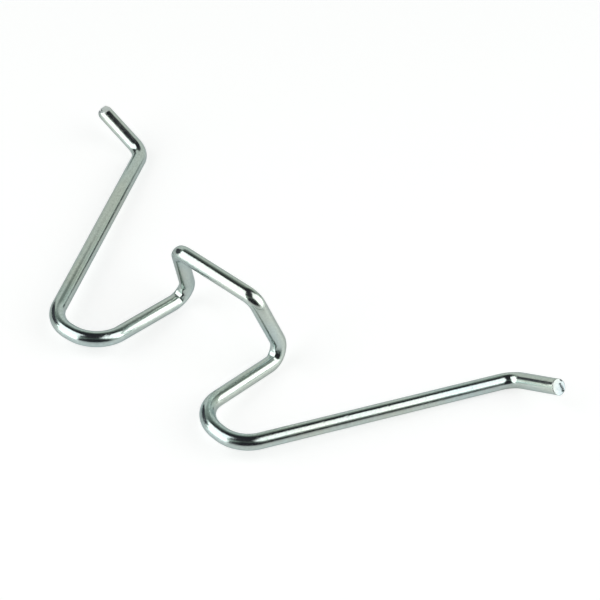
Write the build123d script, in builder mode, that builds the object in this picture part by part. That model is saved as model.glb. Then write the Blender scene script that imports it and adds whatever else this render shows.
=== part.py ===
from build123d import *
from math import cos, radians, sin, tan
import os

# Headlight retaining pin: one length of round zinc-plated spring wire, bent to a clip
# whose right and left halves are mirror images. In the order that the wire runs, a half is
#   bridge  the raised cross bar, shared by both halves, that the lamp's rim seats against
#   post    the steep riser from the bridge down to the knee
#   leg     the run back from the knee, climbing a little
#   U-bend  where the wire turns back on itself, the part that flexes as a spring
#   arm     the long sprung run, splayed outwards and coming back down
#   pin     the short outward end that snaps into its hole
#
# Frame: +X towards the right pin, +Y from the U-bends towards the pins, +Z up. The clip
# rests on Z = 0 on its two knees and the far ends of its two arms, and the origin is under
# the middle of its outline.

# --- driving dimensions, mm and degrees; lengths are between the corners where the centre
# --- lines of two straight runs would meet
WIRE_DIA = 2.5

BRIDGE_WIDTH = 15.9       # one bridge corner to the other
BRIDGE_RISE = 13.4        # bridge above the knees
BRIDGE_LEAN = 4.35        # bridge behind the knees, over the legs

KNEE_WIDTH = 20.4         # one knee to the other
LEG_LENGTH = 20.5
LEG_SPLAY = 0.6           # leg's angle outwards from -Y
LEG_CLIMB = 7.6           # leg's angle above the resting plane

U_BEND_REACH = 9.3        # sideways, from the leg's corner to the arm's
U_BEND_DROP = 0.6         # how far the arm's corner is behind the leg's

ARM_LENGTH = 44.6         # seen from above
ARM_SPLAY = 26.7          # arm's angle outwards from +Y
ARM_END_RISE = 0.41       # pin's corner above the knees, so that both bends touch the plane

PIN_LENGTH = 10.1         # square across the clip
PIN_CLIMB = 25.5          # pin's angle above the resting plane

# Radii of the bends, on the wire's centre line
BRIDGE_BEND = 1.9
KNEE_BEND = 2.55
U_BEND = 5.45
ARM_BEND = 3.0

# Each end is pinched off by two jaws, which leaves two sloping flats and a thin land
CROP_SLOPE = 30.0         # angle of a flat from square across the wire
CROP_LAND = 0.35          # width of the land between the flats


def heading(turn, climb):
    """Unit vector: turn degrees from +X towards +Y, then climb degrees above the plane."""
    flat = cos(radians(climb))
    return Vector(flat * cos(radians(turn)), flat * sin(radians(turn)), sin(radians(climb)))


# --- corners of the right half's centre line, from the bridge to the pin's tip, with Y = 0
# --- and Z = 0 at the knees; the left half mirrors them
bridge_corner = Vector(BRIDGE_WIDTH / 2, -BRIDGE_LEAN, BRIDGE_RISE)
knee = Vector(KNEE_WIDTH / 2, 0, 0)
leg_corner = knee + heading(LEG_SPLAY - 90, LEG_CLIMB) * LEG_LENGTH
arm_corner = leg_corner + Vector(U_BEND_REACH, -U_BEND_DROP, 0)
arm_end = arm_corner + heading(90 - ARM_SPLAY, 0) * ARM_LENGTH
pin_corner = Vector(arm_end.X, arm_end.Y, ARM_END_RISE)
pin_tip = pin_corner + heading(0, PIN_CLIMB) * PIN_LENGTH

right_half = [bridge_corner, knee, leg_corner, arm_corner, pin_corner, pin_tip]
left_half = [Vector(-corner.X, corner.Y, corner.Z) for corner in reversed(right_half)]
right_bends = [BRIDGE_BEND, KNEE_BEND, U_BEND, U_BEND, ARM_BEND]
left_bends = right_bends[::-1]

# The bent centre line, then moved so that the wire's underside is on Z = 0 and its outline
# is centred on Y = 0
with BuildLine() as bent_line:
    FilletPolyline(*left_half, *right_half, radius=left_bends + right_bends)
outline = bent_line.line.bounding_box()
centre_line = bent_line.line.moved(
    Location((0, -(outline.min.Y + outline.max.Y) / 2, WIRE_DIA / 2 - outline.min.Z))
)

with BuildPart() as retaining_pin:
    # The wire is one round section swept from the left pin's tip to the right pin's
    with BuildSketch(Plane(origin=centre_line @ 0, z_dir=centre_line % 0)):
        Circle(WIRE_DIA / 2)
    sweep(path=centre_line)

    # The right end as it is cropped. The sketch looks along the ridge, with X out along the
    # pin, and holds what the upper and the lower jaw take away.
    outward = centre_line % 1
    ridge = Axis.Z.direction.cross(outward)
    flat_depth = (WIRE_DIA - CROP_LAND / 2) * tan(radians(CROP_SLOPE))
    with BuildSketch(Plane(origin=centre_line @ 1, x_dir=outward, z_dir=ridge)):
        Polygon(
            (0, CROP_LAND / 2),
            (-flat_depth, WIRE_DIA),
            (WIRE_DIA, WIRE_DIA),
            (WIRE_DIA, CROP_LAND / 2),
            align=None,
        )
        mirror(about=Plane.XZ)
    jaws = extrude(amount=WIRE_DIA, both=True, mode=Mode.SUBTRACT)

    # The left end mirrors it
    mirror(jaws, about=Plane.YZ, mode=Mode.SUBTRACT)

retaining_pin.part.label = "retaining_pin"

os.makedirs("parts", exist_ok=True)
export_step(retaining_pin.part, "parts/retaining_pin.step")
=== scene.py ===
# %% [markdown]
# Headlight retaining pin, dressed.
#
# The real part is one length of round spring wire, about 2.5 mm thick. It is bent cold to
# a clip, its two ends are cropped, and then the whole clip is zinc plated, so that bends,
# ends and straights all carry the same bright, faintly green skin.
#
# The plan is short: load the CAD frame, set the camera, draw the wire out of one circle by
# extruding it along each run and spinning it round each bend, crop its ends, and give it
# a plated finish. Bright metal shows little but its surroundings, so the studio at the end
# of the lesson matters as much as the finish.

from math import atan2, cos, exp, hypot, pi, radians, sin, tan

import bpy
from mathutils import Matrix, Vector


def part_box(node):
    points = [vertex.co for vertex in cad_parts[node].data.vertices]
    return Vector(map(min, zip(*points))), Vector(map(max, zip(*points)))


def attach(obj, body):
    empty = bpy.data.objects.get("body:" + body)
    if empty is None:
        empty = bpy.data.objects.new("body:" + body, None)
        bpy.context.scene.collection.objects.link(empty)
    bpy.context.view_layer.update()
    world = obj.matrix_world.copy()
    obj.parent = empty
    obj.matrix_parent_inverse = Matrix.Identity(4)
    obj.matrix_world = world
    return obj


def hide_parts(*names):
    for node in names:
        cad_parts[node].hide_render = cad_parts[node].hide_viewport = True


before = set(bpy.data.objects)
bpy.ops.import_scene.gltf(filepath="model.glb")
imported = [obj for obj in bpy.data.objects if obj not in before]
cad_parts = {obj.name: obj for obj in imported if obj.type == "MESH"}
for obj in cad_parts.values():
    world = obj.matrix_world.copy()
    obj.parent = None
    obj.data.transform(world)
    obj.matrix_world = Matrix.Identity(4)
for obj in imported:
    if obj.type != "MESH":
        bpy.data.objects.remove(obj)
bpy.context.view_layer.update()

# %% [markdown]
# The camera stands in front of the clip and to its right, a little over a third of a metre
# away, and looks down at it. It is placed from a turn about the upright axis and a climb
# above the floor, which is easier to reason about than three coordinates, and it is aimed
# a little to the right of the clip's middle and above it.

# %% Camera
VIEW_TURN = radians(42.11)
VIEW_CLIMB = radians(43.63)
VIEW_DISTANCE = 0.3705
VIEW_LENS = 142.3
VIEW_NEAREST = 0.01
AIM_RIGHT = 0.0104
AIM_UP = 0.0046


def facing(turn, climb):
    """Axes of something that looks at the clip from turn and climb: right, up, back."""
    right = Vector((cos(turn), sin(turn), 0))
    back = Vector((sin(turn) * cos(climb), -cos(turn) * cos(climb), sin(climb)))
    return right, back.cross(right), back


right, up, back = facing(VIEW_TURN, VIEW_CLIMB)
camera_data = bpy.data.cameras.new("view")
camera_data.lens = VIEW_LENS
camera_data.clip_start = VIEW_NEAREST
camera = bpy.data.objects.new("view", camera_data)
camera.location = right * AIM_RIGHT + up * AIM_UP + back * VIEW_DISTANCE
camera.rotation_euler = (pi / 2 - VIEW_CLIMB, 0, VIEW_TURN)
bpy.context.scene.collection.objects.link(camera)
bpy.context.scene.camera = camera
print("camera at", [round(value, 4) for value in camera.location], "m")

# %% [markdown]
# The clip's shape comes from a few dimensions, the same ones that the CAD part is bent
# from. Each corner is where the centre lines of two straight runs would meet. The frame
# says where the clip stands: its highest point is the top of the bridge, and its furthest
# point back is the side of the two pins.

# %% Driving dimensions
MM = 0.001
WIRE_RADIUS = 1.25 * MM
BRIDGE_WIDTH = 15.9 * MM
BRIDGE_RISE = 13.4 * MM
BRIDGE_LEAN = 4.35 * MM
KNEE_WIDTH = 20.4 * MM
LEG_LENGTH = 20.5 * MM
LEG_SPLAY = 0.6
LEG_CLIMB = 7.6
U_BEND_REACH = 9.3 * MM
U_BEND_DROP = 0.6 * MM
ARM_LENGTH = 44.6 * MM
ARM_SPLAY = 26.7
ARM_END_RISE = 0.41 * MM
PIN_LENGTH = 10.1 * MM
PIN_CLIMB = 25.5
BRIDGE_BEND = 1.9 * MM
KNEE_BEND = 2.55 * MM
U_BEND = 5.45 * MM
ARM_BEND = 3.0 * MM


def heading(turn, climb):
    """Unit vector: turn degrees from +X towards +Y, then climb degrees upwards."""
    flat = cos(radians(climb))
    turn = radians(turn)
    return Vector((flat * cos(turn), flat * sin(turn), sin(radians(climb))))


bridge_corner = Vector((BRIDGE_WIDTH / 2, -BRIDGE_LEAN, BRIDGE_RISE))
knee = Vector((KNEE_WIDTH / 2, 0, 0))
leg_corner = knee + heading(LEG_SPLAY - 90, LEG_CLIMB) * LEG_LENGTH
arm_corner = leg_corner + Vector((U_BEND_REACH, -U_BEND_DROP, 0))
arm_end = arm_corner + heading(90 - ARM_SPLAY, 0) * ARM_LENGTH
pin_corner = Vector((arm_end.x, arm_end.y, ARM_END_RISE))
pin_tip = pin_corner + heading(0, PIN_CLIMB) * PIN_LENGTH

cad_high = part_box("retaining_pin")[1]
bench = Vector((
    0,
    cad_high.y - WIRE_RADIUS - pin_corner.y,
    cad_high.z - WIRE_RADIUS - BRIDGE_RISE,
))
right_half = [
    corner + bench
    for corner in (bridge_corner, knee, leg_corner, arm_corner, pin_corner, pin_tip)
]
left_half = [Vector((-corner.x, corner.y, corner.z)) for corner in reversed(right_half)]
corners = left_half + right_half
right_bends = [BRIDGE_BEND, KNEE_BEND, U_BEND, U_BEND, ARM_BEND]
bend_radii = right_bends[::-1] + right_bends
print(len(corners), "corners, moved by", [round(value / MM, 3) for value in bench], "mm")

# %% [markdown]
# A wire bender feeds the wire straight, stops, bends, and feeds again. The mesh is made in
# the same order. One circle, the wire's section, is drawn out along each straight run by
# extruding it, and carried round each bend by spinning it about the bend's own centre. A
# curve with a bevel would be quicker, but it rounds its corners by eye, and here each bend
# has a true radius and each run is truly straight.
#
# The open end of the wire is all that moves, so four values describe the work so far:
# where the end is, which way it points, which way its section's sideways is, and how much
# wire has been fed.

# %% The wire's section
SIDES = 64
NEAR_SURFACE = 1.01 * WIRE_RADIUS

bpy.ops.object.select_all(action="DESELECT")
wire_end = corners[0]
pointing = (corners[1] - corners[0]).normalized()
turned_to_start = pointing.to_track_quat("Z", "Y")
bpy.ops.mesh.primitive_circle_add(
    vertices=SIDES,
    radius=WIRE_RADIUS,
    fill_type="NOTHING",
    location=wire_end,
    rotation=turned_to_start.to_euler(),
)
wire = bpy.context.object
wire.name = wire.data.name = "bent_wire"
bpy.ops.object.transform_apply(location=True, rotation=True, scale=True)
bpy.ops.object.mode_set(mode="EDIT")
bpy.ops.mesh.select_all(action="SELECT")
bpy.ops.object.mode_set(mode="OBJECT")
print("section of", len(wire.data.vertices), "vertices")

# %% [markdown]
# A drawn wire has fine lines along it, and they follow it round the bends. So that the
# finish can do the same, every new vertex notes where it would lie if the wire were
# pulled straight again: two numbers across the section, and one along the wire. These
# notes are kept in an attribute named straight_wire.

# %% Feed
RUN_STEP = 1.0 * MM

sideways = turned_to_start @ Vector((1, 0, 0))
fed = 0.0
straight_places = []


def note_places(line_at):
    """Notes each new vertex's place on the straight wire. line_at gives, for a vertex, the
    centre line's nearest point, its sideways and forward directions, and the length fed."""
    for vertex in wire.data.vertices[len(straight_places):]:
        centre, side, forward, length = line_at(vertex.co)
        spoke = vertex.co - centre
        straight_places.append((spoke.dot(side), spoke.dot(forward.cross(side)), length))


def feed(length):
    """Extrudes the open end straight on, in short steps."""
    global wire_end, fed
    steps = max(1, round(length / RUN_STEP))
    bpy.ops.object.mode_set(mode="EDIT")
    for _ in range(steps):
        bpy.ops.mesh.extrude_region_move(
            TRANSFORM_OT_translate={"value": pointing * (length / steps)}
        )
    bpy.ops.object.mode_set(mode="OBJECT")

    def line_at(place):
        run = (place - wire_end).dot(pointing)
        return wire_end + pointing * run, sideways, pointing, fed + run

    note_places(line_at)
    wire_end = wire_end + pointing * length
    fed += length


note_places(lambda place: (wire_end, sideways, pointing, fed))
print("noted the places of", len(straight_places), "vertices")

# %% [markdown]
# A bend starts one setback before its corner, so that its arc ends as far beyond it. Each
# bend's centre, axis and middle direction are kept, for the marks that come later.

# %% Bend
BEND_STEP = radians(2.5)

bends_made = []


def bend(radius, new_direction):
    """Spins the open end round a bend. The spin operator turns clockwise about its axis,
    so the angle is given to it with a minus sign."""
    global wire_end, pointing, sideways, fed
    angle = pointing.angle(new_direction)
    inward = (new_direction - pointing * new_direction.dot(pointing)).normalized()
    axis = pointing.cross(new_direction).normalized()
    centre = wire_end + inward * radius
    steps = 2 * max(1, round(angle / BEND_STEP / 2))
    bpy.ops.object.mode_set(mode="EDIT")
    bpy.ops.mesh.spin(steps=steps, angle=-angle, center=centre, axis=axis)
    bpy.ops.object.mode_set(mode="OBJECT")

    def line_at(place):
        spoke = place - centre
        swept = (-inward).angle(spoke - axis * spoke.dot(axis))
        turn = Matrix.Rotation(swept, 3, axis)
        middle = centre - turn @ inward * radius
        return middle, turn @ sideways, turn @ pointing, fed + swept * radius

    note_places(line_at)
    bends_made.append((centre, axis, Matrix.Rotation(angle / 2, 3, axis) @ -inward))
    turn = Matrix.Rotation(angle, 3, axis)
    wire_end = centre + turn @ (wire_end - centre)
    sideways, pointing = turn @ sideways, new_direction
    fed += angle * radius


for radius, corner, after in zip(bend_radii, corners[1:], corners[2:]):
    new_direction = (after - corner).normalized()
    setback = radius * tan(pointing.angle(new_direction) / 2)
    feed((corner - wire_end).dot(pointing) - setback)
    bend(radius, new_direction)
    print(f"bent round {radius / MM:.2f} mm after {fed / MM:.1f} mm of wire")
feed((corners[-1] - wire_end).dot(pointing))
WIRE_LENGTH = fed

note = wire.data.attributes.new("straight_wire", "FLOAT_VECTOR", "POINT")
note.data.foreach_set("vector", [value for place in straight_places for value in place])
print(f"wire {WIRE_LENGTH / MM:.1f} mm long, {len(wire.data.vertices)} vertices")

# %% [markdown]
# A bending pin presses into the inside of a tight bend. In each knee it has left a small
# flat facet, and a sharp crease straight across the wire where the facet meets the leg.
# On the right of the facet, the wire's shoulder is pressed flat too. Where the arms end,
# the marks are faint.
#
# All of it is made by moving vertices. A place in a bend is given by its turn from the
# bend's middle, towards the leg, and by its angle round the wire from the inside of the
# bend, towards the right. A facet takes off the wire's curve over its own width. A crease
# extends the two flats beside it till they meet, instead of the arc that joins them.

# %% Crease the tight bends
CREASE_ROUNDING = radians(9)
KNEE_CREASE = (radians(28), radians(29))
ARM_CREASE = (0, radians(17))
LEFT_FACET = (radians(-6), 0.19 * MM, radians(14), radians(8))
LEFT_SHOULDER = (radians(44), 0.035 * MM, radians(24), radians(3))
RIGHT_FACET = (radians(0), 0.15 * MM, radians(14), radians(7))
RIGHT_SHOULDER = (radians(43), 0.06 * MM, radians(15), radians(8))
FACET_FADE = radians(24)
PRESS_REACH = radians(60)
HOLD_FROM, HOLD_OVER = 0.25, 0.35


def eased(value):
    """Runs softly from 0 to 1 as the value does, and stays there outside that range."""
    value = min(1.0, max(0.0, value))
    return value * value * (3 - 2 * value)


def press(made, radius, legward, crease, facets):
    """Presses a crease (turn, half width) and facets (angle round, depth, turn, half
    width) into a bend. legward is 1 where the leg comes after the bend, else -1."""
    centre, axis, middle = made
    rightward = axis if axis.x > 0 else -axis
    moved = 0
    for vertex in wire.data.vertices:
        spoke = vertex.co - centre
        across = spoke.dot(rightward)
        spoke -= rightward * across
        turn = legward * atan2(axis.dot(middle.cross(spoke)), middle.dot(spoke))
        outward = spoke.normalized()
        inward = radius - spoke.length
        if hypot(across, inward) > NEAR_SURFACE or abs(turn) > PRESS_REACH:
            continue
        beyond = crease[1] - hypot(turn - crease[0], CREASE_ROUNDING)
        push = Vector()
        if beyond > 0:
            hold = eased((inward / WIRE_RADIUS - HOLD_FROM) / HOLD_OVER)
            push += outward * spoke.length * (1 / cos(beyond) - 1) * hold
        for around, depth, middle_turn, half in facets:
            off_centre = WIRE_RADIUS * (atan2(across, inward) - around)
            fade = eased(1 - (abs(turn - middle_turn) - half) / FACET_FADE)
            facing_in = rightward * sin(around) - outward * cos(around)
            curve = off_centre ** 2 / (2 * WIRE_RADIUS)
            push -= facing_in * max(0.0, depth * fade - curve)
        moved += push.length > 0
        vertex.co += push
    print("pressed a bend,", moved, "vertices moved")


press(bends_made[0], ARM_BEND, 1, ARM_CREASE, [])
press(bends_made[3], KNEE_BEND, -1, KNEE_CREASE, [LEFT_FACET, LEFT_SHOULDER])
press(bends_made[6], KNEE_BEND, 1, KNEE_CREASE, [RIGHT_FACET, RIGHT_SHOULDER])
press(bends_made[9], ARM_BEND, 1, ARM_CREASE, [])

# %% [markdown]
# On the outside, the tight bends at the ends of the bridge have gone a little oval.

# %% Flatten the bridge's bends
OVAL_DEPTH = 0.08 * MM
OVAL_WIDTH = 0.85 * MM
OVAL_TURN = radians(45)
OVAL_FADE = 1.6


def flatten_outside(made, radius):
    """Draws in the outside of a bend, most along its middle."""
    centre, axis, middle = made
    for vertex in wire.data.vertices:
        spoke = vertex.co - centre
        across = spoke.dot(axis)
        spoke -= axis * across
        turn = abs(middle.angle(spoke))
        beyond = spoke.length - radius
        if 0 < beyond < NEAR_SURFACE and abs(across) < OVAL_WIDTH:
            flat = 1 - (across / OVAL_WIDTH) ** 2
            fade = eased(OVAL_FADE * (1 - turn / OVAL_TURN))
            vertex.co -= spoke.normalized() * OVAL_DEPTH * flat * fade
    print("flattened the outside of a bend round", round(radius / MM, 2), "mm")


flatten_outside(bends_made[4], BRIDGE_BEND)
flatten_outside(bends_made[5], BRIDGE_BEND)

# %% [markdown]
# The two ends don't match, because a cropping tool is sharpened on one side only. Its
# steep side leaves the left end as a lopsided wedge: a long slope above and a short one
# below. Its square side leaves the right end as a nearly square face that only leans back
# a little.
#
# Each end is first closed with a face. Then bisect slices the wire along each plane of the
# tool, throws away what is outside it and fills the cut. A plane is named by how far its
# face leans from square across the wire, upwards or downwards.

# %% Crop the ends
WEDGE_UPPER_SLOPE = radians(47)
WEDGE_LOWER_SLOPE = radians(22)
WEDGE_RISE = 0.22 * MM
SQUARE_SLOPE = radians(15)
SQUARE_SETBACK = 0.70 * MM
AT_END = 0.01 * MM
END_REACH = 3 * WIRE_RADIUS
SLICE_REACH = 4 * WIRE_RADIUS

left_tip, left_out = corners[0], (corners[0] - corners[1]).normalized()
right_tip, right_out = corners[-1], (corners[-1] - corners[-2]).normalized()
FAR = Vector((0, 1, 0))
left_up = FAR.cross(left_out)
right_up = right_out.cross(FAR)


def select_where(kept, kind="VERT"):
    """Selects what kept(place, normal) is true for, and nothing else."""
    bpy.ops.object.mode_set(mode="EDIT")
    bpy.ops.mesh.select_mode(type=kind)
    bpy.ops.mesh.select_all(action="DESELECT")
    bpy.ops.object.mode_set(mode="OBJECT")
    if kind == "FACE":
        for face in wire.data.polygons:
            face.select = kept(face.center, face.normal)
    else:
        for vertex in wire.data.vertices:
            vertex.select = kept(vertex.co, vertex.normal)
    bpy.ops.object.mode_set(mode="EDIT")


def close_end(tip, outward):
    """Fills the open ring of vertices at an end with a face."""
    select_where(
        lambda place, normal: (place - tip).length < NEAR_SURFACE
        and abs((place - tip).dot(outward)) < AT_END
    )
    bpy.ops.mesh.edge_face_add()
    bpy.ops.object.mode_set(mode="OBJECT")


def slice_end(tip, outward, upward, lean, through):
    """Slices off what is beyond a plane through a point, leaning back by lean at its top.
    Returns the plane as the point and the way that it faces."""
    facing_out = outward * cos(lean) + upward * sin(lean)
    select_where(lambda place, normal: (place - tip).length < SLICE_REACH)
    bpy.ops.mesh.bisect(
        plane_co=through, plane_no=facing_out, use_fill=True, clear_outer=True
    )
    bpy.ops.object.mode_set(mode="OBJECT")
    return through, facing_out


close_end(left_tip, left_out)
close_end(right_tip, right_out)
ridge = left_tip + left_up * WEDGE_RISE
wedge_planes = [
    slice_end(left_tip, left_out, left_up, WEDGE_UPPER_SLOPE, ridge),
    slice_end(left_tip, left_out, left_up, -WEDGE_LOWER_SLOPE, ridge),
]
square_middle = right_tip - right_out * SQUARE_SETBACK
square_planes = [slice_end(right_tip, right_out, right_up, SQUARE_SLOPE, square_middle)]
print("cropped, now", len(wire.data.polygons), "faces")

# %% [markdown]
# Plating builds up on sharp edges and rounds them, so the edges of the crops get a bevel.
# It is small round the square face, and large on the wedge, which the tool has crushed
# more than cut.

# %% Round the crops
SQUARE_EDGE = 0.05 * MM
WEDGE_EDGE = 0.09 * MM
EDGE_SHARPNESS = radians(18)
EDGE_STEPS = 4


def round_edges(tip, width):
    """Bevels the sharp edges of an end."""
    bpy.ops.object.mode_set(mode="EDIT")
    bpy.ops.mesh.select_mode(type="EDGE")
    bpy.ops.mesh.select_all(action="DESELECT")
    bpy.ops.mesh.edges_select_sharp(sharpness=EDGE_SHARPNESS)
    bpy.ops.object.mode_set(mode="OBJECT")
    vertices = wire.data.vertices
    for edge in wire.data.edges:
        away = (vertices[edge.vertices[0]].co - tip).length
        edge.select = edge.select and away < END_REACH
    bpy.ops.object.mode_set(mode="EDIT")
    bpy.ops.mesh.bevel(offset=width, segments=EDGE_STEPS, affect="EDGES")
    bpy.ops.object.mode_set(mode="OBJECT")


def turn_outwards():
    """Makes the faces agree, then flips them all where the volume comes out negative."""
    bpy.ops.object.mode_set(mode="EDIT")
    bpy.ops.mesh.select_all(action="SELECT")
    bpy.ops.mesh.normals_make_consistent(inside=False)
    bpy.ops.object.mode_set(mode="OBJECT")
    faces = wire.data.polygons
    volume = sum(face.area * face.normal.dot(face.center) for face in faces) / 3
    if volume < 0:
        bpy.ops.object.mode_set(mode="EDIT")
        bpy.ops.mesh.flip_normals()
        bpy.ops.object.mode_set(mode="OBJECT")
    print("volume", round(volume / MM ** 3, 1), "cubic mm")


round_edges(left_tip, WEDGE_EDGE)
round_edges(right_tip, SQUARE_EDGE)
turn_outwards()
print("rounded, now", len(wire.data.polygons), "faces")

# %% [markdown]
# Sheared wire isn't smooth. A face needs vertices of its own before it can be torn, so the
# faces of the crops are first scored with bisect into a fine grid.

# %% Score the cropped faces
SCORE_STEP = 0.1 * MM
FACE_REACH = 2 * WIRE_RADIUS
FACES_OUT = 0.5


def score_faces(tip, outward, upward):
    """Cuts the faces that close an end into a grid, with the rest of the wire hidden."""
    steps = int(WIRE_RADIUS / SCORE_STEP)
    select_where(
        lambda place, normal: (place - tip).length < FACE_REACH
        and normal.dot(outward) > FACES_OUT,
        "FACE",
    )
    bpy.ops.mesh.hide(unselected=True)
    for across in (FAR, upward):
        for step in range(-steps, steps + 1):
            bpy.ops.mesh.select_all(action="SELECT")
            bpy.ops.mesh.bisect(plane_co=tip + across * SCORE_STEP * step, plane_no=across)
    bpy.ops.mesh.reveal(select=False)
    bpy.ops.object.mode_set(mode="OBJECT")


score_faces(left_tip, left_out, left_up)
score_faces(right_tip, right_out, right_up)
print("scored, now", len(wire.data.polygons), "faces")

# %% [markdown]
# The square face has torn along a groove near its far side, with a lip standing proud
# beyond it and a low ridge across the rest, and the wedge has a nib at the near end of its
# edge with a notch beside it.
#
# Each vertex of an end moves in or out by a relief, which is given across the wire, far
# side positive, and up it. The move fades within the last half millimetre of the wire.

# %% Tear the cropped faces
RELIEF_FADE = 0.45 * MM


def hump(across, up, height, middle, reach):
    """A smooth hump, or a dent where its height is negative. All in millimetres."""
    return height * exp(
        -((across - middle[0]) / reach[0]) ** 2 - ((up - middle[1]) / reach[1]) ** 2
    )


def tear(tip, upward, planes, relief):
    """Moves an end's vertices out by relief(across, up), square to the nearest plane."""
    torn = 0
    for vertex in wire.data.vertices:
        place = vertex.co - tip
        if place.length > END_REACH:
            continue
        depth = min((through - vertex.co).dot(facing_out) for through, facing_out in planes)
        fade = max(0.0, 1 - max(0.0, depth) / RELIEF_FADE)
        across, up = place.dot(FAR) / MM, place.dot(upward) / MM
        _, facing_out = min(planes, key=lambda plane: (plane[0] - vertex.co).dot(plane[1]))
        vertex.co += facing_out * relief(across, up) * fade * MM
        torn += fade > 0
    print("tore an end,", torn, "vertices moved")


def square_relief(across, up):
    """The square face's relief, in millimetres."""
    lip = 0.09 / (1 + exp((0.56 - across) / 0.035))
    ridge = hump(across, up, 0.08, (-0.05, 0.05 + 0.5 * across), (0.50, 0.07))
    groove = hump(across, up, -0.10, (0.45, -0.30), (0.05, 0.60))
    head = hump(across, up, -0.12, (0.44, 0.26), (0.12, 0.10))
    nick = hump(across, up, -0.24, (0.39, -0.87), (0.13, 0.15))
    lower_flat = 0.10 * (up - 0.20) if up < 0.20 else 0.0
    return lip + ridge + groove + head + nick + lower_flat


def wedge_relief(across, up):
    """The wedge's relief, in millimetres."""
    nib = hump(across, up, 0.20, (-0.95, 0.30), (0.15, 0.20))
    notch = hump(across, up, -0.30, (-0.66, 0.22), (0.12, 0.22))
    dish = hump(across, up, -0.03, (0.10, 0.60), (0.40, 0.20))
    return nib + notch + dish


tear(left_tip, left_up, wedge_planes, wedge_relief)
tear(right_tip, right_up, square_planes, square_relief)

# %% [markdown]
# The crushed end of the wedge is narrower than the wire, and longer. Its vertices are drawn
# in towards the wire's middle, and out along it, mostly on the far side.

# %% Crush the wedge
CRUSH = 0.26
CRUSH_REACH = 0.75 * MM
DRAWN_OUT = 0.10 * MM
DRAWN_OUT_FAR = 0.26 * MM
FAR_SIDE_FROM = -0.50 * MM
FAR_SIDE_OVER = 0.30 * MM


def crush(tip, outward):
    """Draws the last of the wire in towards its middle, and out, more on its far side."""
    for vertex in wire.data.vertices:
        place = vertex.co - tip
        run = place.dot(outward)
        if place.length < END_REACH and run > -CRUSH_REACH:
            near_end = 1 + min(0.0, run) / CRUSH_REACH
            far_side = eased(0.5 + (place.y - FAR_SIDE_FROM) / FAR_SIDE_OVER)
            vertex.co -= (place - outward * run) * CRUSH * near_end ** 2
            vertex.co += outward * (DRAWN_OUT + DRAWN_OUT_FAR * far_side) * near_end ** 2


crush(left_tip, left_out)
print("crushed the left end")

# %% [markdown]
# The bevels have left a few vertices in the same place, so they are merged. Then the faces
# are turned outwards and smoothed, except across real edges.

# %% Smooth the wire
SAME_PLACE = 0.0005 * MM
SMOOTH_BELOW = radians(40)

bpy.ops.object.mode_set(mode="EDIT")
bpy.ops.mesh.select_all(action="SELECT")
bpy.ops.mesh.remove_doubles(threshold=SAME_PLACE)
bpy.ops.object.mode_set(mode="OBJECT")
turn_outwards()
bpy.ops.object.shade_smooth_by_angle(angle=SMOOTH_BELOW)
weighted = wire.modifiers.new("even_flats", "WEIGHTED_NORMAL")
weighted.keep_sharp = True
bpy.ops.object.modifier_apply(modifier=weighted.name)
print("finished wire:", len(wire.data.polygons), "faces")

# %% [markdown]
# Each material is a tree of nodes. One short function adds a node, sets it up and links
# what feeds it, so that a finish can be read from top to bottom.

# %% A short way to write nodes
def add(tree, kind, settings=None, **inputs):
    """Adds a node. Inputs go by name with _ for a space: a node's output or a value."""
    node = tree.nodes.new("ShaderNode" + kind)
    for name, value in (settings or {}).items():
        setattr(node, name, value)
    for name, value in inputs.items():
        socket = node.inputs[int(name[3:])] if name.startswith("in_") else node.inputs[
            name.replace("_", " ")
        ]
        if isinstance(value, bpy.types.Node):
            value = value.outputs[0]
        if isinstance(value, bpy.types.NodeSocket):
            tree.links.new(value, socket)
        else:
            socket.default_value = value
    return node


def new_material(name):
    """An empty material, and the tree to fill in."""
    material = bpy.data.materials.new(name)
    material.use_nodes = True
    material.node_tree.nodes.clear()
    return material, material.node_tree


print("ready to write nodes")

# %% [markdown]
# The finish is bright zinc with a clear passivate. It is a metal, a little green, nearly
# a mirror, and four small things keep it from looking like chrome: faint lines that the
# drawing die left along the wire, a fine grain with a few pits in it, a soft waviness
# that the bending and plating left, and a bloom where the passivate came out bluer. They
# are one node group, because the cropped faces need them too, only stronger and with no
# die lines.

# %% The skin of drawn and plated wire
DIE_LINE_SCALE = 3800
DIE_LINE_STRETCH = (1, 1, 0.03)
GRAIN_SCALE = 3600
MOTTLE_SCALE = 800
RIPPLE_SCALE = 420
RIPPLE_STRETCH = (1, 1, 0.25)
CLOUD_SCALE = 170
CLOUD_STRETCH = (1, 1, 0.35)
DIE_LINE_TINT = 0.45
DIE_LINE_DEPTH = 0.02 * MM
GRAIN_DEPTH = 0.03 * MM
PIT_DEPTH = 0.02 * MM
RIPPLE_DEPTH = 0.06 * MM

skin_group = bpy.data.node_groups.new("plated_skin", "ShaderNodeTree")
for name, kind, way in (
    ("Die lines", "NodeSocketFloat", "INPUT"),
    ("Grain", "NodeSocketFloat", "INPUT"),
    ("Tint", "NodeSocketFloat", "OUTPUT"),
    ("Dulling", "NodeSocketFloat", "OUTPUT"),
    ("Bloom", "NodeSocketFloat", "OUTPUT"),
    ("Normal", "NodeSocketVector", "OUTPUT"),
):
    skin_group.interface.new_socket(name, in_out=way, socket_type=kind)
given = skin_group.nodes.new("NodeGroupInput")
wanted = skin_group.nodes.new("NodeGroupOutput")
along = add(skin_group, "Attribute", {"attribute_name": "straight_wire"}).outputs["Vector"]
die_lines = add(
    skin_group, "TexNoise",
    Vector=add(skin_group, "Mapping", Vector=along, Scale=DIE_LINE_STRETCH),
    Scale=DIE_LINE_SCALE, Detail=3, Roughness=0.6,
)
grain = add(
    skin_group, "TexNoise", Vector=along, Scale=GRAIN_SCALE, Detail=3, Roughness=0.65,
)
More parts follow.
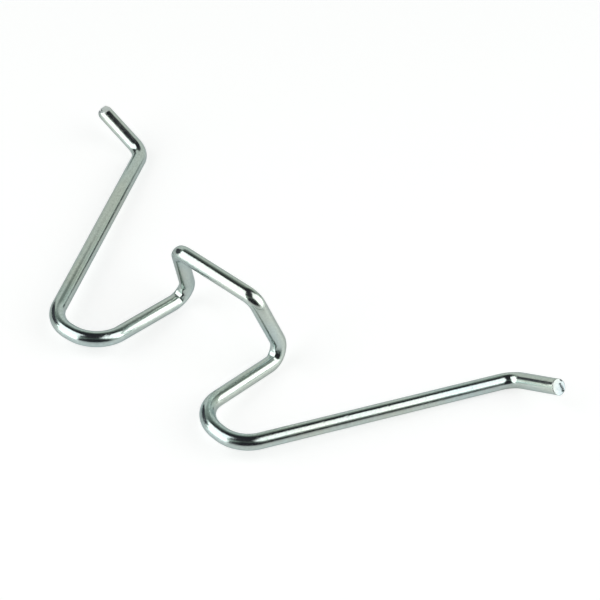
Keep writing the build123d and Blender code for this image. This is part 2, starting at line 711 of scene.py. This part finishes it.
mottle = add(
    skin_group, "TexNoise", Vector=along, Scale=MOTTLE_SCALE, Detail=4, Roughness=0.6,
)
ripple = add(
    skin_group, "TexNoise",
    Vector=add(skin_group, "Mapping", Vector=along, Scale=RIPPLE_STRETCH),
    Scale=RIPPLE_SCALE, Detail=1,
)
clouds = add(
    skin_group, "TexNoise",
    Vector=add(skin_group, "Mapping", Vector=along, Scale=CLOUD_STRETCH),
    Scale=CLOUD_SCALE, Detail=2, Roughness=0.5,
)
pitted = add(
    skin_group, "MapRange", Value=mottle.outputs["Fac"], From_Min=0.66, From_Max=0.74,
)
tint = add(
    skin_group, "Math", {"operation": "MULTIPLY_ADD", "use_clamp": True},
    in_0=die_lines.outputs["Fac"], in_1=DIE_LINE_TINT,
    in_2=add(
        skin_group, "MapRange", Value=grain.outputs["Fac"], From_Min=0.35, From_Max=0.75,
    ),
)
connect = skin_group.links.new
connect(
    add(skin_group, "Math", {"operation": "MAXIMUM"}, in_0=tint, in_1=pitted).outputs[0],
    wanted.inputs["Tint"],
)
connect(
    add(
        skin_group, "MapRange", Value=mottle.outputs["Fac"], From_Min=0.3, From_Max=0.7,
    ).outputs[0],
    wanted.inputs["Dulling"],
)
connect(
    add(
        skin_group, "MapRange", Value=clouds.outputs["Fac"], From_Min=0.40, From_Max=0.60,
    ).outputs[0],
    wanted.inputs["Bloom"],
)
skin = add(
    skin_group, "Bump", Height=die_lines.outputs["Fac"],
    Strength=given.outputs["Die lines"], Distance=DIE_LINE_DEPTH,
)
skin = add(
    skin_group, "Bump", Height=grain.outputs["Fac"], Strength=given.outputs["Grain"],
    Distance=GRAIN_DEPTH, Normal=skin,
)
skin = add(
    skin_group, "Bump", Height=pitted, Strength=0.6, Distance=-PIT_DEPTH, Normal=skin,
)
skin = add(
    skin_group, "Bump", Height=ripple.outputs["Fac"], Strength=0.5,
    Distance=RIPPLE_DEPTH, Normal=skin,
)
connect(skin.outputs[0], wanted.inputs["Normal"])
print("skin group of", len(skin_group.nodes), "nodes")


# %% [markdown]
# Three finishes use that skin: the plate along the wire, the same plate over the torn metal
# of the square end, which is duller, and over the crushed metal of the wedge, which is
# paler.

# %% Plated finishes
OLIVE = (1.0, 1.0, 0.955)
TEAL = (0.935, 1.0, 1.025)
RIM_TINT = (0.66, 0.70, 0.72)
CUT_DEPTH = 0.3 * MM
CUT_REACH = 2.5 * WIRE_RADIUS
CUT_FACING = 0.6


def plated(name, thick, thin, brightest, dullest, die_lines, grain):
    """Zinc whose colour runs from thick to thin plate, and its roughness as given."""
    finish, tree = new_material(name)
    skin = add(tree, "Group", {"node_tree": skin_group}, Die_lines=die_lines, Grain=grain)
    colour = add(
        tree, "Mix", {"data_type": "RGBA"}, in_0=skin.outputs["Tint"],
        in_6=(*thick, 1), in_7=(*thin, 1),
    )
    bloom = add(
        tree, "Mix", {"data_type": "RGBA"}, in_0=skin.outputs["Bloom"],
        in_6=(*OLIVE, 1), in_7=(*TEAL, 1),
    )
    bloomed = add(
        tree, "Mix", {"data_type": "RGBA", "blend_type": "MULTIPLY"}, in_0=1.0,
        in_6=colour.outputs[2], in_7=bloom.outputs[2],
    )
    roughness = add(
        tree, "MapRange", Value=skin.outputs["Dulling"], To_Min=brightest, To_Max=dullest,
    )
    metal = add(
        tree, "BsdfPrincipled", Base_Color=bloomed.outputs[2], Roughness=roughness,
        Metallic=1.0, Normal=skin.outputs["Normal"], Specular_Tint=(*RIM_TINT, 1),
    )
    add(tree, "OutputMaterial", Surface=metal)
    print("finish:", name)
    return finish


bright_zinc = plated(
    "bright_zinc_plate", thick=(0.68, 0.745, 0.715), thin=(0.55, 0.60, 0.58),
    brightest=0.12, dullest=0.21, die_lines=0.42, grain=0.26,
)
torn_zinc = plated(
    "torn_zinc_plate", thick=(0.60, 0.635, 0.625), thin=(0.44, 0.46, 0.48),
    brightest=0.30, dullest=0.42, die_lines=0.0, grain=0.6,
)
crushed_zinc = plated(
    "crushed_zinc_plate", thick=(0.85, 0.88, 0.89), thin=(0.66, 0.70, 0.74),
    brightest=0.26, dullest=0.38, die_lines=0.0, grain=0.5,
)
wire.data.materials.clear()
for finish in (bright_zinc, torn_zinc, crushed_zinc):
    wire.data.materials.append(finish)
for face in wire.data.polygons:
    for index, planes in ((1, square_planes), (2, wedge_planes)):
        for through, facing_out in planes:
            spoke = face.center - through
            if (
                spoke.length < CUT_REACH
                and abs(spoke.dot(facing_out)) < CUT_DEPTH
                and face.normal.dot(facing_out) > CUT_FACING
            ):
                face.material_index = index
cut_faces = [face for face in wire.data.polygons if face.material_index > 0]
print("torn or crushed faces:", len(cut_faces))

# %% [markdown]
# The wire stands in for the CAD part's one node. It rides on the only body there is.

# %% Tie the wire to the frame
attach(wire, "root")
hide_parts("retaining_pin")
print(wire.name, "takes the place of retaining_pin")

# %% [markdown]
# The studio is a white table under two large softboxes, one on the clip's right and one
# in front of it on the left, in a grey room with a dark ceiling. For the camera the table
# is matt, so it keeps the clip's shadow, and part of its white is its own. For what the
# metal mirrors it is a white table with a polished top, darker close under the wire and
# brighter towards the lamps.

# %% White table
TABLE_HALF = 3.0
TABLE_SEEN = 0.445
TABLE_GLOW = 0.70
TABLE_WHITE = 0.76
MIRRORED_GLOW = 0.24
POLISH = 1.45
POLISH_ROUGHNESS = 0.08

bpy.ops.mesh.primitive_plane_add(size=2 * TABLE_HALF, location=(0, 0, 0))
table = bpy.context.object
table.name = "white_table"
white, tree = new_material("white_table")
path = add(tree, "LightPath")
mirrored = path.outputs["Is Glossy Ray"]
whiteness = add(
    tree, "MapRange", Value=path.outputs["Is Camera Ray"],
    To_Min=TABLE_WHITE, To_Max=TABLE_SEEN,
)
matt = add(tree, "BsdfDiffuse", Color=whiteness)
seen_glow = add(
    tree, "Math", {"operation": "MULTIPLY"},
    in_0=path.outputs["Is Camera Ray"], in_1=TABLE_GLOW,
)
glow = add(
    tree, "Emission",
    Strength=add(
        tree, "Math", {"operation": "MULTIPLY_ADD"},
        in_0=mirrored, in_1=MIRRORED_GLOW, in_2=seen_glow,
    ),
)
polish = add(tree, "BsdfGlossy", Color=(1, 1, 1, 1), Roughness=POLISH_ROUGHNESS)
gloss = add(
    tree, "Math", {"operation": "MULTIPLY"},
    in_0=add(tree, "Fresnel", IOR=POLISH), in_1=mirrored,
)
white_top = add(tree, "AddShader", in_0=glow, in_1=matt)
add(
    tree, "OutputMaterial",
    Surface=add(tree, "MixShader", Fac=gloss, in_1=white_top, in_2=polish),
)
table.data.materials.append(white)
print("table", 2 * TABLE_HALF, "m square")

# %% [markdown]
# Each softbox is placed as the camera was, by a turn and a climb, and it faces the clip.
# Its brightness is that of its own front, which is what the metal mirrors.

# %% Softboxes
LAMP_DISTANCE = 0.35
LAMP_BRIGHTNESS = 1.55


def softbox(name, turn, climb, roll, width, height):
    """A large soft lamp that faces the clip, rolled about the line between them."""
    panel = bpy.data.lights.new(name, "AREA")
    panel.shape = "RECTANGLE"
    panel.size, panel.size_y = width, height
    panel.energy = LAMP_BRIGHTNESS * pi * width * height
    lamp = bpy.data.objects.new(name, panel)
    right, up, back = facing(radians(turn), radians(climb))
    lamp.location = back * LAMP_DISTANCE
    square = Matrix((right, up, back)).transposed()
    lamp.rotation_euler = (square @ Matrix.Rotation(radians(roll), 3, "Z")).to_euler()
    lamp.visible_camera = False
    bpy.context.scene.collection.objects.link(lamp)
    print(name, "gives", round(panel.energy, 2), "W")


softbox("right_softbox", 118, 34, roll=15, width=0.33, height=0.50)
softbox("left_softbox", -31, 31.5, roll=24, width=0.31, height=0.55)

# %% [markdown]
# A low screen curves round the clip behind its left arm. It is a strip drawn up from an
# arc, and it is so close that the left arm mirrors it right up to its crown, while the
# rest of the clip looks over it to the darker room.

# %% Low screen
SCREEN_CENTRE = Vector((-0.02, 0, 0))
SCREEN_RADIUS = 0.09
SCREEN_HEIGHT = 0.086
SCREEN_FROM, SCREEN_TO = radians(-104), radians(-179)
SCREEN_STEPS = 24
SCREEN_FADE = 0.008
SCREEN_SHADE = (0.66, 0.69, 0.65)


def hide_from_all_but_mirrors(stand):
    """Leaves a thing out of the picture, its shadow too, but not out of reflections."""
    stand.visible_camera = stand.visible_shadow = stand.visible_diffuse = False


def soft_topped(name, shade, top, softness):
    """An even shade that fades to nothing towards its top edge."""
    finish, tree = new_material(name)
    place = add(tree, "TexCoord").outputs["Object"]
    height = add(tree, "SeparateXYZ", Vector=place).outputs["Z"]
    fade = add(tree, "MapRange", Value=height, From_Min=top - softness, From_Max=top)
    lit = add(tree, "Emission", Color=(*shade, 1))
    clear = add(tree, "BsdfTransparent")
    faded = add(tree, "MixShader", Fac=fade, in_1=lit, in_2=clear)
    add(tree, "OutputMaterial", Surface=faded)
    return finish


screen_data = bpy.data.meshes.new("low_screen")
arc = [
    SCREEN_FROM + (SCREEN_TO - SCREEN_FROM) * step / SCREEN_STEPS
    for step in range(SCREEN_STEPS + 1)
]
foot = [SCREEN_CENTRE + facing(turn, 0)[2] * SCREEN_RADIUS for turn in arc]
screen_data.from_pydata(foot, [(step, step + 1) for step in range(SCREEN_STEPS)], [])
screen = bpy.data.objects.new("low_screen", screen_data)
bpy.context.scene.collection.objects.link(screen)
bpy.ops.object.select_all(action="DESELECT")
bpy.context.view_layer.objects.active = screen
screen.select_set(True)
bpy.ops.object.mode_set(mode="EDIT")
bpy.ops.mesh.select_mode(type="EDGE")
bpy.ops.mesh.select_all(action="SELECT")
bpy.ops.mesh.extrude_region_move(TRANSFORM_OT_translate={"value": (0, 0, SCREEN_HEIGHT)})
bpy.ops.object.mode_set(mode="OBJECT")
hide_from_all_but_mirrors(screen)
screen_data.materials.append(
    soft_topped("low_screen", SCREEN_SHADE, SCREEN_HEIGHT, SCREEN_FADE)
)
print("screen of", len(screen_data.polygons), "faces")

# %% [markdown]
# Two dark cards stand beside it. The one behind gives the left arm the dark line along
# its inner side, and the one on the left gives the right pin its dark band.

# %% Cards
def card(name, turn, climb, distance, width, height, shade):
    """A flat card that faces the clip. It shows only in what the metal mirrors."""
    right, up, back = facing(radians(turn), radians(climb))
    bpy.ops.mesh.primitive_plane_add(
        size=1, location=back * distance,
        rotation=Matrix((right, up, back)).transposed().to_euler(),
    )
    board = bpy.context.object
    board.name = name
    board.scale = (width, height, 1)
    bpy.ops.object.transform_apply(location=True, rotation=True, scale=True)
    hide_from_all_but_mirrors(board)
    finish, tree = new_material(name)
    add(tree, "OutputMaterial", Surface=add(tree, "Emission", Color=(*shade, 1)))
    board.data.materials.append(finish)
    print(name, "stands", distance, "m away")


card("back_card", 180, 0, 0.095, 0.032, 0.045, (0.06, 0.075, 0.075))
card("side_card", -80, 19, 0.30, 0.27, 0.17, (0.045, 0.045, 0.055))

# %% [markdown]
# The room is grey up to the height of the lamps, then it darkens towards a black ceiling.
# It is also dark in front, where the camera stands.

# %% Grey room with a dark ceiling
WALL = (0.66, 0.72, 0.67)
UNDER_EAVES = (0.34, 0.40, 0.35)
EAVES = (0.17, 0.20, 0.18)
OVER_EAVES = (0.045, 0.055, 0.05)
DARK = (0.022, 0.022, 0.027)
WALL_TOP = 20
CEILING = 60
FRONT = heading(-45, 0)
FRONT_FROM, FRONT_TO = 0.67, 0.75

room = bpy.data.worlds.new("grey_room")
room.use_nodes = True
tree = room.node_tree
tree.nodes.clear()
direction = add(tree, "TexCoord").outputs["Generated"]
height = add(tree, "SeparateXYZ", Vector=direction).outputs["Z"]
climbing = add(tree, "ValToRGB", Fac=height)
ramp = climbing.color_ramp
ramp.elements[0].position, ramp.elements[0].color = sin(radians(WALL_TOP)), (*WALL, 1)
ramp.elements[1].position, ramp.elements[1].color = sin(radians(CEILING)), (*DARK, 1)
for climb, shade in ((34, UNDER_EAVES), (45, EAVES), (53, OVER_EAVES)):
    ramp.elements.new(sin(radians(climb))).color = (*shade, 1)
frontness = add(
    tree, "VectorMath", {"operation": "DOT_PRODUCT"}, in_0=direction, in_1=FRONT
).outputs["Value"]
opening = add(tree, "MapRange", Value=frontness, From_Min=FRONT_FROM, From_Max=FRONT_TO)
colour = add(
    tree, "Mix", {"data_type": "RGBA"}, in_0=opening,
    in_6=climbing.outputs["Color"], in_7=(*DARK, 1),
)
add(tree, "OutputWorld", Surface=add(tree, "Background", Color=colour.outputs[2]))
bpy.context.scene.world = room
bpy.context.scene.view_settings.view_transform = "Standard"
print("room:", room.name)
